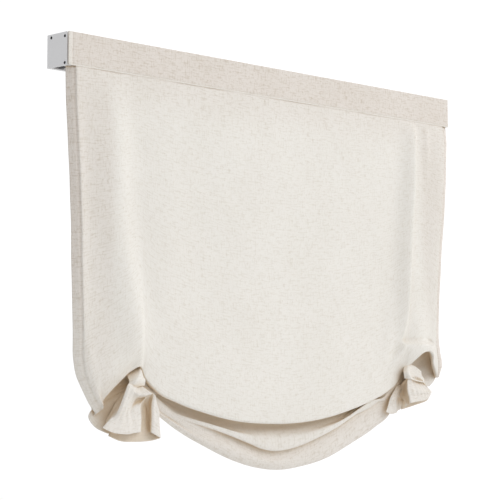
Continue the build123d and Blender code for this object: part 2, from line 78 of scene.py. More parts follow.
def through(knots: Sequence[float], values: np.ndarray, at: np.ndarray) -> np.ndarray:
    """A smooth curve through values.

    Args:
        knots: where each value stands, rising.
        values: one row for each knot.
        at: where the curve is read. Outside the knots it keeps its end values.

    Returns:
        One row for each place in at.
    """
    knots, values = np.asarray(knots, float), np.asarray(values, float)
    at = np.clip(np.asarray(at, float), knots[0], knots[-1])
    slopes = np.gradient(values, knots, axis=0)
    low = np.clip(np.searchsorted(knots, at, side="right") - 1, 0, len(knots) - 2)
    span = knots[low + 1] - knots[low]
    share = (at - knots[low]) / span
    shape = at.shape + (1,) * (values.ndim - 1)
    span, share = span.reshape(shape), share.reshape(shape)
    square, cube = share**2, share**3
    return (
        (2 * cube - 3 * square + 1) * values[low]
        + (cube - 2 * square + share) * span * slopes[low]
        + (3 * square - 2 * cube) * values[low + 1]
        + (cube - square) * span * slopes[low + 1]
    )


def step(low: float, high: float, value: np.ndarray) -> np.ndarray:
    """A soft step from 0 at low to 1 at high."""
    share = np.clip((value - low) / (high - low), 0, 1)
    return share * share * (3 - 2 * share)


def lengths(points: np.ndarray) -> np.ndarray:
    """How far along a line of points each point lies."""
    runs = np.linalg.norm(np.diff(points, axis=0), axis=1)
    return np.concatenate([[0], np.cumsum(runs)])


def ripple(x: np.ndarray, z: np.ndarray, seed: float) -> np.ndarray:
    """Slow, uneven waves about 1 high, as in cloth that has been handled.

    Args:
        x: place across the cloth, in metres.
        z: place down the cloth, in metres.
        seed: shifts the pattern.

    Returns:
        The height of the waves at each place.
    """
    total = np.zeros_like(x)
    for turn, (pitch, angle) in enumerate(((0.21, 0.3), (0.13, 1.9), (0.087, 1.2), (0.055, 2.6))):
        along = x * cos(angle) + z * sin(angle)
        bend = 0.6 * np.sin(2 * pi * (z * cos(angle) - x * sin(angle)) / (3.1 * pitch) + seed * turn)
        total += pitch / 0.21 * np.sin(2 * pi * along / pitch + bend + seed * (turn + 1.7))
    return total / 2


def quads(*corners: np.ndarray) -> np.ndarray:
    """Four-sided faces from arrays of their corners."""
    return np.stack([corner.ravel() for corner in corners], axis=1)


@dataclass
class Cloth:
    """Pieces of one cloth, each a grid of points with a thickness, sewn into one mesh."""

    name: str
    thickness: float
    points: list[np.ndarray] = field(default_factory=list)
    faces: list[np.ndarray] = field(default_factory=list)
    weave: list[np.ndarray] = field(default_factory=list)
    painted_shade: list[np.ndarray] = field(default_factory=list)
    inner_shade: list[np.ndarray] = field(default_factory=list)
    count: int = 0
    area: float = 0.0

    def add(self, grid: np.ndarray, painted_shade: np.ndarray | float = 0.0, inner_shade: float = 0.0) -> None:
        """Adds a grid of cloth.

        Args:
            grid: points by row and column. Rows run down the cloth and columns to the right.
            painted_shade: how much each place is painted darker, from 0 to 1: where the cloth lies in two
                layers at a hem and lets less light through, and where it hangs in shade.
            inner_shade: how much painted shade the back of the grid takes, from 0 to 1, where it lies
                within a closed fold.
        """
        rows, columns = grid.shape[:2]
        down, right = np.gradient(grid, axis=0), np.gradient(grid, axis=1)
        front = np.cross(down, right)
        front /= np.maximum(np.linalg.norm(front, axis=2, keepdims=True), 1e-12)
        across = np.linalg.norm(np.diff(grid, axis=1), axis=2).mean(axis=0)
        along = np.linalg.norm(np.diff(grid, axis=0), axis=2).mean(axis=1)
        u = np.concatenate([[0], np.cumsum(across)])
        v = np.concatenate([[0], np.cumsum(along)])
        uv = np.stack(np.broadcast_arrays(u[None, :], -v[:, None]), axis=2)
        place = np.arange(rows * columns).reshape(rows, columns) + self.count
        back = place + rows * columns
        sides = [quads(place[:-1, :-1], place[1:, :-1], place[1:, 1:], place[:-1, 1:])]
        sides.append(quads(back[:-1, :-1], back[:-1, 1:], back[1:, 1:], back[1:, :-1]))
        for edge, behind in (
            (place[0, ::-1], back[0, ::-1]),
            (place[-1], back[-1]),
            (place[:, 0], back[:, 0]),
            (place[::-1, -1], back[::-1, -1]),
        ):
            sides.append(quads(edge[:-1], behind[:-1], behind[1:], edge[1:]))
        self.points += [grid.reshape(-1, 3), (grid - front * self.thickness).reshape(-1, 3)]
        self.weave += [uv.reshape(-1, 2), uv.reshape(-1, 2)]
        self.painted_shade += [np.broadcast_to(painted_shade, (rows, columns)).ravel()] * 2
        self.inner_shade += [np.zeros(rows * columns), np.full(rows * columns, inner_shade)]
        self.faces += sides
        self.count += 2 * rows * columns
        self.area += float(np.linalg.norm(np.cross(down, right), axis=2)[:-1, :-1].sum())

    def build(self) -> bpy.types.Object:
        """Makes the mesh of all grids, with the weave's own coordinates in metres."""
        mesh = new_mesh(self.name, np.concatenate(self.points), np.concatenate(self.faces).tolist())
        corners = np.zeros(len(mesh.loops), int)
        mesh.loops.foreach_get("vertex_index", corners)
        layer = mesh.uv_layers.new(name="weave")
        layer.data.foreach_set("uv", np.concatenate(self.weave)[corners].astype(np.float32).ravel())
        # Both amounts of painted shade go on the mesh, for its material to read
        for name, amounts in (("painted_shade", self.painted_shade), ("inner_shade", self.inner_shade)):
            values = mesh.attributes.new(name, "FLOAT", "POINT")
            values.data.foreach_set("value", np.concatenate(amounts).astype(np.float32))
        return new_object(self.name, mesh)


def new_mesh(name: str, points: np.ndarray, faces: list) -> bpy.types.Mesh:
    """A smooth-shaded mesh from points and faces."""
    mesh = bpy.data.meshes.new(name)
    mesh.from_pydata(np.asarray(points, float).tolist(), [], faces)
    mesh.validate()
    mesh.polygons.foreach_set("use_smooth", np.ones(len(mesh.polygons), bool))
    mesh.update()
    return mesh


def new_object(name: str, mesh: bpy.types.Mesh) -> bpy.types.Object:
    """An object in the scene that shows a mesh."""
    piece = bpy.data.objects.new(name, mesh)
    bpy.context.scene.collection.objects.link(piece)
    return piece


class Tubes:
    """Round threads and cords, each swept along its own line of points, in one mesh."""

    def __init__(self, name: str, sides: int = 8) -> None:
        """Starts an empty set of tubes with that many sides each."""
        self.name, self.sides = name, sides
        self.points: list[np.ndarray] = []
        self.faces: list[list[int]] = []
        self.count = 0

    def add(self, line: np.ndarray, radius: float) -> None:
        """Adds one tube.

        Args:
            line: the points that the tube follows.
            radius: of the tube.
        """
        line = np.asarray(line, float)
        ahead = np.gradient(line, axis=0)
        ahead /= np.linalg.norm(ahead, axis=1, keepdims=True)
        aside = np.cross(ahead, [0.0, 1.0, 0.02])
        aside /= np.linalg.norm(aside, axis=1, keepdims=True)
        over = np.cross(ahead, aside)
        angle = np.arange(self.sides) * 2 * pi / self.sides
        ring = aside[:, None] * np.cos(angle)[None, :, None] + over[:, None] * np.sin(angle)[None, :, None]
        self.points.append((line[:, None] + ring * radius).reshape(-1, 3))
        place = np.arange(len(line) * self.sides).reshape(len(line), self.sides) + self.count
        after = np.roll(place, -1, axis=1)
        walls = quads(place[:-1], after[:-1], after[1:], place[1:])
        self.faces += walls.tolist() + [place[0, ::-1].tolist(), place[-1].tolist()]
        self.count += place.size

    def build(self) -> bpy.types.Object:
        """Makes the mesh of all tubes."""
        return new_object(self.name, new_mesh(self.name, np.concatenate(self.points), self.faces))


# ---- Shader maths ------------------------------------------------------------------------------


class Value:
    """A number that changes over a surface: a shader socket with arithmetic."""

    def __init__(self, shader: "Shader", socket: bpy.types.NodeSocket) -> None:
        """Wraps a node's output."""
        self.shader, self.socket = shader, socket

    def _math(self, operation: str, *terms: "Value | float") -> "Value":
        """One Math node on these terms."""
        node = self.shader.node("ShaderNodeMath", {"operation": operation}, dict(enumerate(terms)))
        return Value(self.shader, node.outputs[0])

    def __add__(self, other: "Value | float") -> "Value":
        """self + other"""
        return self._math("ADD", self, other)

    def __radd__(self, other: float) -> "Value":
        """other + self"""
        return self._math("ADD", other, self)

    def __sub__(self, other: "Value | float") -> "Value":
        """self - other"""
        return self._math("SUBTRACT", self, other)

    def __rsub__(self, other: float) -> "Value":
        """other - self"""
        return self._math("SUBTRACT", other, self)

    def __mul__(self, other: "Value | float") -> "Value":
        """self * other"""
        return self._math("MULTIPLY", self, other)

    def __rmul__(self, other: float) -> "Value":
        """other * self"""
        return self._math("MULTIPLY", other, self)

    def wave(self) -> "Value":
        """The sine of this value."""
        return self._math("SINE", self)

    def size(self) -> "Value":
        """This value without its sign."""
        return self._math("ABSOLUTE", self)

    def between(self, low: float, high: float) -> "Value":
        """A soft step from 0 at low to 1 at high."""
        node = self.shader.node(
            "ShaderNodeMapRange",
            {"interpolation_type": "SMOOTHSTEP"},
            {"Value": self, "From Min": low, "From Max": high},
        )
        return Value(self.shader, node.outputs[0])


class Shader:
    """The node tree of one material, or of the world."""

    def __init__(self, owner: bpy.types.Material | bpy.types.World) -> None:
        """Starts an empty node tree."""
        owner.use_nodes = True
        self.tree = owner.node_tree
        self.tree.nodes.clear()

    def node(self, kind: str, settings: dict | None = None, inputs: dict | None = None) -> bpy.types.Node:
        """Adds a node.

        Args:
            kind: the node's type.
            settings: its settings, which are set first.
            inputs: a value or a link for each of its sockets, by name or number.

        Returns:
            The new node.
        """
        node = self.tree.nodes.new(kind)
        for key, setting in (settings or {}).items():
            setattr(node, key, setting)
        for key, given in (inputs or {}).items():
            if isinstance(given, Value):
                given = given.socket
            if isinstance(given, bpy.types.NodeSocket):
                self.tree.links.new(given, node.inputs[key])
            else:
                node.inputs[key].default_value = given
        return node

    def weave(self) -> bpy.types.NodeSocket:
        """The cloth's own coordinates, in metres across and down."""
        return self.node("ShaderNodeUVMap", {"uv_map": "weave"}).outputs[0]

    def amount(self, name: str) -> Value:
        """A number that the mesh keeps for each of its points."""
        return Value(self, self.node("ShaderNodeAttribute", {"attribute_name": name}).outputs["Fac"])

    def place(self) -> bpy.types.NodeSocket:
        """The place on the piece, in metres."""
        return self.node("ShaderNodeTexCoord").outputs["Object"]

    def stretched(self, vector: bpy.types.NodeSocket, scale: Sequence[float]) -> bpy.types.NodeSocket:
        """A vector scaled along each axis."""
        settings, inputs = {"operation": "MULTIPLY"}, {0: vector, 1: tuple(scale)}
        return self.node("ShaderNodeVectorMath", settings, inputs).outputs[0]

    def noise(self, vector: bpy.types.NodeSocket, scale: float, detail: float = 2.0) -> Value:
        """Soft noise from about 0 to 1."""
        inputs = {"Vector": vector, "Scale": scale, "Detail": detail}
        return Value(self, self.node("ShaderNodeTexNoise", None, inputs).outputs[0])

    def axes(self, vector: bpy.types.NodeSocket) -> tuple[Value, Value, Value]:
        """A vector's three numbers."""
        parts = self.node("ShaderNodeSeparateXYZ", None, {0: vector}).outputs
        return Value(self, parts[0]), Value(self, parts[1]), Value(self, parts[2])

    def mix(self, share: Value | float, first: object, second: object) -> bpy.types.NodeSocket:
        """The colour between first, at 0, and second, at 1."""
        inputs = {0: share, 6: self._colour(first), 7: self._colour(second)}
        return self.node("ShaderNodeMix", {"data_type": "RGBA"}, inputs).outputs[2]

    @staticmethod
    def _colour(given: object) -> object:
        """A colour with its fourth number, or a socket as it is."""
        return (*given, 1.0) if isinstance(given, tuple) else given

    def bump(self, height: Value, depth: float, strength: float = 1.0) -> bpy.types.NodeSocket:
        """A Normal from a height, where a height of 1 stands depth metres proud."""
        inputs = {"Height": height, "Distance": depth, "Strength": strength}
        return self.node("ShaderNodeBump", None, inputs).outputs[0]

    def surface(self, inputs: dict) -> None:
        """Ends the material in one Principled shader with these inputs."""
        given = {key: self._colour(value) for key, value in inputs.items()}
        shader = self.node("ShaderNodeBsdfPrincipled", None, given)
        self.node("ShaderNodeOutputMaterial", None, {"Surface": shader.outputs[0]})


# ---- Finishes ----------------------------------------------------------------------------------


@dataclass(frozen=True)
class WovenCloth:
    """Plain-woven cloth with thick and thin threads.

    pitch is the distance between threads, slub is how much the thick threads show, hollow is the
    warm painted shade that the colour turns to in folds, where ambient occlusion within shade_reach
    finds cloth near, and shade_tint is the painted shade of places that the mesh marks as shaded.
    """

    name: str
    tint: Colour
    flax: Colour
    hollow: Colour
    pitch: float = 0.9 * MM
    slub: float = 0.6
    relief: float = 0.14 * MM
    shade_reach: float = 60 * MM
    shade_tint: Colour = (0.925, 0.89, 0.88)

    def material(self) -> bpy.types.Material:
        """Builds the material."""
        made = bpy.data.materials.new(self.name)
        shader = Shader(made)
        weave = shader.weave()
        warp = shader.noise(shader.stretched(weave, (400.0, 70.0, 1.0)), 1.0, 2.5)
        weft = shader.noise(shader.stretched(weave, (62.0, 380.0, 1.0)), 1.0, 2.5)
        fine_warp = shader.noise(shader.stretched(weave, (1000.0, 170.0, 1.0)), 1.0)
        fine_weft = shader.noise(shader.stretched(weave, (160.0, 950.0, 1.0)), 1.0)
        patch, nep = shader.noise(weave, 9.0), shader.noise(weave, 210.0, 2.0)
        threads = warp.between(0.5, 0.72) * 0.5 + weft.between(0.48, 0.7) * 0.55
        threads = threads + (fine_warp + fine_weft - 1.0).size() * 0.7 + patch.between(0.3, 0.75) * 0.15
        threads = threads + nep.between(0.55, 0.72) * 0.5
        painted_shade, inner_shade = shader.amount("painted_shade"), shader.amount("inner_shade")
        # Painted shade: a darker copy of the linen's colours, its thick threads showing more, for the
        # places that the mesh marks with painted shade
        darker = tuple(part * shade for part, shade in zip(self.tint, self.shade_tint))
        flax = tuple(part * shade for part, shade in zip(self.flax, self.shade_tint))
        single = shader.mix(threads * self.slub, self.tint, self.flax)
        shaded = shader.mix(threads * self.slub * 1.7, darker, flax)
        cloth = shader.mix(painted_shade, single, shaded)
        open_inputs = {"Distance": self.shade_reach}
        # Painted shade: the colour turns to the hollow tint where ambient occlusion finds folds near, and
        # further on the inner backs of closed folds
        open_sky = shader.node("ShaderNodeAmbientOcclusion", {"samples": 8}, open_inputs)
        depth = Value(shader, open_sky.outputs["AO"]).between(0.12, 0.93) * (1.0 - inner_shade * 0.5)
        across, down, _ = shader.axes(weave)
        ticks = 2 * pi / self.pitch
        over = (across * ticks).wave() * (down * ticks).wave()
        height = over * 0.3 + warp * 1.3 + weft * 1.3 + fine_warp * 0.5 + fine_weft * 0.5
        shader.surface(
            {
                "Base Color": shader.mix(depth, self.hollow, cloth),
                "Roughness": 0.86,
                "Specular IOR Level": 0.18,
                "Sheen Weight": 0.12,
                "Sheen Roughness": 0.5,
                "Normal": shader.bump(height, self.relief),
            }
        )
        return made


@dataclass(frozen=True)
class Coating:
    """A painted, plated or moulded surface with a fine grain and slight unevenness."""

    name: str
    tint: Colour
    roughness: float
    metallic: float = 0.0
    grain: float = 900.0
    relief: float = 0.02 * MM
    drawn: Sequence[float] = (1.0, 1.0, 1.0)
    variation: float = 0.06
    coat: float = 0.0
    transmission: float = 0.0

    def material(self) -> bpy.types.Material:
        """Builds the material."""
        made = bpy.data.materials.new(self.name)
        shader = Shader(made)
        place = shader.place()
        grain = shader.noise(shader.stretched(place, self.drawn), self.grain, 3.0)
        patch = shader.noise(place, 22.0)
        darker = tuple(part * (1 - 2 * self.variation) for part in self.tint)
        shader.surface(
            {
                "Base Color": shader.mix(grain * 0.5 + patch * 0.5, darker, self.tint),
                "Roughness": self.roughness - 0.08 + grain * 0.1 + patch * 0.06,
                "Metallic": self.metallic,
                "Coat Weight": self.coat,
                "Transmission Weight": self.transmission,
                "Normal": shader.bump(grain, self.relief),
            }
        )
        return made


@dataclass(frozen=True)
class Pile:
    """Hook or loop tape: rows of stiff little hooks or soft loops on a woven band."""

    name: str
    tint: Colour
    shadow: Colour
    row: float = 1.4 * MM

    def material(self) -> bpy.types.Material:
        """Builds the material."""
        made = bpy.data.materials.new(self.name)
        shader = Shader(made)
        place = shader.place()
        x, _, z = shader.axes(place)
        ticks = 2 * pi / self.row
        tuft = (x * ticks).wave() * 0.25 + (z * ticks).wave() * 0.25 + 0.5
        tuft = tuft * 0.6 + shader.noise(place, 1500.0) * 0.4
        shader.surface(
            {
                "Base Color": shader.mix(tuft, self.shadow, self.tint),
                "Roughness": 0.9,
                "Normal": shader.bump(tuft, 0.3 * MM),
            }
        )
        return made


class Finish(Enum):
    """Every finish on the blind, by the slot it fills."""

    LINEN = "linen"
    LINING = "lining_cotton"
    CORD = "lift_cord"
    RAIL = "rail_paint"
    CAP = "cap_plastic"
    SCREW = "black_screw"
    ZINC = "zinc_steel"
    HOOK = "hook_nylon"
    LOOP = "loop_nylon"
    MOTOR = "motor_case"
    WHITE = "white_nylon"
    GREY = "grey_nylon"
    SHAFT = "shaft_steel"
    RING = "clear_ring"
    STOP = "stop_plastic"


class Finishes:
    """Makes each finish once and puts it on the pieces."""

    RECIPES = {
        # The third colour of each cloth is its painted shade in folds
        Finish.LINEN: WovenCloth("linen", (0.845, 0.82, 0.775), (0.67, 0.62, 0.54), (0.71, 0.57, 0.405)),
        Finish.LINING: WovenCloth(
            "lining_cotton", (0.84, 0.82, 0.78), (0.78, 0.75, 0.70), (0.60, 0.50, 0.38),
            0.45 * MM, 0.25, 0.04 * MM,
        ),
        Finish.CORD: Coating("lift_cord", (0.84, 0.83, 0.79), 0.75, grain=2500.0, relief=0.1 * MM),
        Finish.RAIL: Coating("rail_paint", (0.80, 0.80, 0.82), 0.42),
        Finish.CAP: Coating("cap_plastic", (0.83, 0.83, 0.845), 0.5, grain=1400.0, variation=0.03),
        Finish.SCREW: Coating("black_screw", (0.03, 0.03, 0.035), 0.4, metallic=0.6),
        Finish.ZINC: Coating("zinc_steel", (0.66, 0.67, 0.70), 0.34, metallic=1.0, grain=260.0),
        Finish.HOOK: Pile("hook_nylon", (0.34, 0.33, 0.32), (0.14, 0.13, 0.13)),
        Finish.LOOP: Pile("loop_nylon", (0.36, 0.34, 0.32), (0.15, 0.14, 0.13), 2.2 * MM),
        Finish.MOTOR: Coating("motor_case", (0.16, 0.16, 0.17), 0.45, metallic=0.3),
        Finish.WHITE: Coating("white_nylon", (0.82, 0.82, 0.81), 0.48),
        Finish.GREY: Coating("grey_nylon", (0.50, 0.51, 0.53), 0.5),
        Finish.SHAFT: Coating(
            "shaft_steel", (0.60, 0.61, 0.63), 0.3, metallic=1.0, drawn=(0.02, 1.0, 1.0), grain=1800.0
        ),
        Finish.RING: Coating("clear_ring", (0.93, 0.93, 0.91), 0.12, transmission=0.85, variation=0.01),
        Finish.STOP: Coating("stop_plastic", (0.86, 0.85, 0.82), 0.25, coat=0.3),
    }

    def __init__(self) -> None:
        """Makes the materials."""
        self.made = {finish: recipe.material() for finish, recipe in self.RECIPES.items()}

    def put(self, piece: bpy.types.Object, finish: Finish) -> None:
        """Covers a piece with one finish."""
        piece.data.materials.clear()
        piece.data.materials.append(self.made[finish])

    def dress_frame(self, record: dict, nodes: dict) -> None:
        """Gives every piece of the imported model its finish.

        Args:
            record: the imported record, whose subparts name their slots.
            nodes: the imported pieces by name.
        """
        for part in record["subparts"]:
            node = nodes[part["node"]]
            for slot in node.material_slots:
                slot.material = self.made[Finish(part["material_slot"])]


# ---- The blind ---------------------------------------------------------------------------------


@dataclass(frozen=True)
class Layout:
    """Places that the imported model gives, in metres."""

    front: float
    back: float
    low: float
    top: float
    half: float
    column: float
    gather: float
    lining_front: float
    lining_low: float
    lining_half: float

    @classmethod
    def read(cls) -> "Layout":
        """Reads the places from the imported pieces."""
        band, rings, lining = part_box("heading_band"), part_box("gather_rings_right"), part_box("lining")
        return cls(
            front=band[0].y,
            back=band[1].y,
            low=band[0].z,
            top=band[1].z,
            half=band[1].x,
            column=(rings[0].x + rings[1].x) / 2,
            gather=(rings[0].z + rings[1].z) / 2,
            lining_front=lining[0].y,
            lining_low=lining[0].z,
            lining_half=lining[1].x,
        )


@dataclass
class Maker:
    """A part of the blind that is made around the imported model."""

    layout: Layout
    finishes: Finishes


def shorten(piece: bpy.types.Object) -> None:
    """Hangs a piece on the rail and gives it a mesh of its own.

    Args:
        piece: the finished cloth, cord or row of stitches.
    """
    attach(piece, "rail")
    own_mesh(piece)


@dataclass(frozen=True)
class Ridge:
    """A soft fold that stands out of the hanging cloth.

    path holds the drop below the rail, the place across and the height of the fold at a few
    points, in millimetres. left and right are the widths of its two slopes.
    """

    path: Points
    left: float
    right: float

    def height(self, x: np.ndarray, drop: np.ndarray) -> np.ndarray:
        """The fold's height at places on the cloth, all in metres."""
        knots = np.array(self.path, float) * MM
        middle = through(knots[:, 0], knots[:, 1], drop)
        crest = through(knots[:, 0], knots[:, 2], drop)
        aside = x - middle
        width = np.where(aside < 0, self.left, self.right) * MM
        return crest * np.exp(-((aside / width) ** 2))


@dataclass
class Panel:
    """The front of the linen, from the rail to its lowest fold, with its two side returns.

    The outlines are in millimetres: across is the place at the heading, x the place where it
    hangs, drop is below the rail's underside, and stand is how far the cloth stands out of the
    heading's front.
    """

    layout: Layout
    columns: int = 270
    rows: int = 130
    fold_radius: float = 4.5 * MM
    # across, x, drop, stand
    lower_fold: Points = (
        (-484, -423, 569, 3), (-470, -418, 563, 8), (-448, -407, 552, 12), (-418, -391, 537, 15),
        (-390, -374, 520, 15), (-367, -360, 505, 13), (-352, -348, 496, 10), (-341, -341, 499, 4),
        (-324, -333, 516, 4), (-298, -308, 538, 8), (-256, -259, 558, 12), (-200, -203, 574, 14),
        (-130, -132, 589, 15), (-50, -50, 596, 15), (30, 30, 596, 15), (110, 110, 588, 15),
        (180, 180, 574, 14), (240, 244, 557, 12), (290, 300, 537, 8), (324, 334, 517, 4),
        (339, 342, 502, 5), (351, 350, 492, 9), (370, 366, 477, 13), (392, 386, 463, 15),
        (412, 405, 459, 13), (430, 421, 461, 9), (444, 436, 475, 5), (456, 446, 490, 3),
        (468, 454, 502, 2), (481, 459, 510, 1),
    )
    # drop, x of the crease
    left_crease: Points = (
        (0, -484), (58, -484), (208, -476), (440, -467), (490, -465), (518, -459), (540, -447), (558, -434),
        (570, -423),
    )
    right_crease: Points = (
        (0, 481), (20, 481), (67, 477), (130, 472), (192, 466), (254, 459), (316, 453), (377, 450),
        (430, 450), (459, 452), (488, 459), (510, 458),
    )
    # Share of the drop, width of the return, how far it is bent back in degrees
    left_return: Points = ((0, 18, 42), (0.85, 18.5, 42), (0.94, 17, 42), (1, 13, 44))
    right_return: Points = (
        (0, 19, 20), (0.1, 20, 26), (0.85, 20, 26), (0.93, 19, 16), (0.97, 15, 10), (1, 7, 10),
    )
    ridges: tuple[Ridge, ...] = (
        # drop, x and height of each fold, then the widths of its two slopes
        Ridge(
            (
                (0, -404, 0), (60, -404, 7), (150, -402, 13), (250, -397, 15),
                (330, -386, 15), (400, -370, 14), (470, -352, 9), (510, -340, 2),
            ),
            44, 34,
        ),
        Ridge(((0, -490, 0), (80, -484, 2), (300, -472, 3), (450, -467, 2), (560, -440, 0)), 20, 12),
        Ridge(
            (
                (0, 386, 0), (25, 385, 7), (80, 380, 13), (190, 369, 16),
                (300, 358, 16), (400, 343, 14), (440, 336, 7), (470, 330, 0),
            ),
            26, 8,
        ),
        Ridge(
            (
                (0, 481, 0), (30, 476, 4), (90, 470, 7), (220, 458, 8),
                (350, 447, 7), (430, 447, 4), (500, 458, 0),
            ),
            42, 40,
        ),
        Ridge(((0, 428, 0), (20, 428, 2), (70, 427, 2), (130, 425, 0)), 9, 7),
        Ridge(((300, 318, 0), (380, 308, 2), (450, 300, 3), (510, 294, 0)), 20, 14),
        Ridge(((0, -300, 0), (150, -290, 2), (330, -285, 3), (480, -292, 0)), 45, 50),
        Ridge(((0, -120, 0), (60, -120, 2), (260, -110, 2), (420, -100, 0)), 90, 110),
    )

    def fold_point(self, across: np.ndarray) -> np.ndarray:
        """x, drop and stand of the lowest fold, in metres, for each place across."""
        knots = np.array(self.lower_fold, float) * MM
        return through(knots[:, 0], knots[:, 1:], across)

    def surface(self, across: np.ndarray, share: np.ndarray) -> np.ndarray:
        """The face of the linen.

        Args:
            across: places at the heading, one for each column.
            share: how far down each row is, from 0 at the rail to 1 at the lowest fold.

        Returns:
            Points by row and column.
        """
        layout = self.layout
        end = self.fold_point(across)
        across, share = across[None, :], share[:, None]
        drop = end[None, :, 1] * share
        pull = 0.35 * share + 0.65 * share**5
        x = across + (end[None, :, 0] - across) * pull
        for crease, side in ((self.left_crease, -1), (self.right_crease, 1)):
            knots = np.array(crease, float) * MM
            edge = through(knots[:, 0], knots[:, 1], drop)
            top = knots[0, 1]
            mine = x[:, :1] if side < 0 else x[:, -1:]
            weight = step(layout.column - 0.01, abs(top), side * across)
            x = x + (edge - mine) * weight
        stand = end[None, :, 2] * step(0.45, 1.0, share) ** 1.5
        for ridge in self.ridges:
            stand = stand + ridge.height(x, drop)
        # The left flap rolls under before its edge
        flap = step(0.345, 0.372, -across) * (1 - step(0.455, 0.48, -across))
        stand = stand - 9 * MM * flap * step(0.92, 1.0, share) ** 2
        # The pouch over the right tail: its upper edge is a crease across the cloth
        start = 0.333 - 0.8 * np.clip(drop - 0.449, 0, 0.05)
        pouch = step(-0.006, 0.010, x - start) * (1 - step(0.425, 0.448, x))
        stand = stand + pouch * step(0.443, 0.451, drop) * (1 - step(0.458, 0.512, drop)) * 12 * MM
        stand = stand - pouch * 1.3 * MM * np.exp(-(((drop - 0.4405) / (3 * MM)) ** 2))
        settle = step(0.0, 0.08, drop) * (1 - 0.5 * step(0.9, 1.0, share))
        stand = stand + (0.8 + ripple(x, drop, 0.4) * 0.9) * MM * settle
        return np.stack([x + 0 * drop, layout.front - stand, layout.low - drop + 0 * x], axis=2)

    def grid(self) -> tuple[np.ndarray, np.ndarray]:
        """The whole panel: returns, face, the turn of the lowest fold and the cloth behind it.

        Returns:
            Points by row and column, and how much painted shade each place takes.
        """
        first, last = self.lower_fold[0][0] * MM, self.lower_fold[-1][0] * MM
        across = np.linspace(first, last, self.columns)
        share = np.linspace(0, 1, self.rows)
        face = self.surface(across, share)
        left = self._side(face[:, 0], share, self.left_return, -1)
        right = self._side(face[:, -1], share, self.right_return, 1)
        face = np.concatenate([left[:, ::-1], face, right], axis=1)
        bottom = face[-1]
        turn = np.radians(np.linspace(20, 180, 9))[:, None]
        radius = self.fold_radius
        under = np.repeat(bottom[None], len(turn), axis=0)
        under[..., 1] += radius * (1 - np.cos(turn))
        under[..., 2] -= radius * np.sin(turn)
        up = np.linspace(0, 1, 12)[1:, None]
        behind = np.repeat(under[-1:], len(up), axis=0)
        behind[..., 1] += 8 * MM * step(0.0, 1.0, up)
        behind[..., 2] += 42 * MM * up
        grid = np.concatenate([face, under, behind], axis=0)
        # Painted shade: bands about 70 mm wide inside both side creases, fading lower down, the right one
        # more; the top 90 mm below the rail; and both returns, the left one fading lower down
        drop = self.layout.low - grid[..., 2]
        left_edge, right_edge = face[:1, left.shape[1], 0], face[:1, -right.shape[1] - 1, 0]
        inner = np.minimum(grid[..., 0] - left_edge, right_edge - grid[..., 0])
        fading = step(0.18, 0.5, drop) * np.where(grid[..., 0] < 0, 0.45, 0.9)
        hems = 0.55 * (1 - step(0.06, 0.085, inner)) * (1 - fading)
        seam = 0.5 * (1 - step(-0.01, 0.09, drop))
        painted_shade = np.maximum(hems, seam)
        painted_shade[:, : left.shape[1]] = (1.0 - 0.7 * step(0.25, 0.56, drop))[:, : left.shape[1]]
        painted_shade[:, -right.shape[1] :] = 1.0
        return grid, painted_shade

    def _side(self, crease: np.ndarray, share: np.ndarray, size: Points, side: int) -> np.ndarray:
        """A return, as columns that go outwards from its crease."""
        size = np.array(size, float)
        width = np.interp(share, size[:, 0], size[:, 1])[:, None] * MM
        angle = np.radians(np.interp(share, size[:, 0], size[:, 2]))[:, None]
        out = np.array([0.04, 0.1, 0.18, 0.3, 0.45, 0.6, 0.75, 0.9, 1.0])[None, :]
        reach = width * out
        groove = (1.6 if side < 0 else 2.6) * MM * np.exp(-(((reach - 2.4 * MM) / (1.7 * MM)) ** 2))
        grid = np.repeat(crease[:, None], out.size, axis=1)
        grid[..., 0] += side * (reach * np.cos(angle) - groove * np.sin(angle) * 0.5)
        grid[..., 1] += reach * np.sin(angle) + groove
        if side < 0:
            grid[..., 2] -= 9 * MM * out * step(0.93, 1.0, share)[:, None]
        return grid


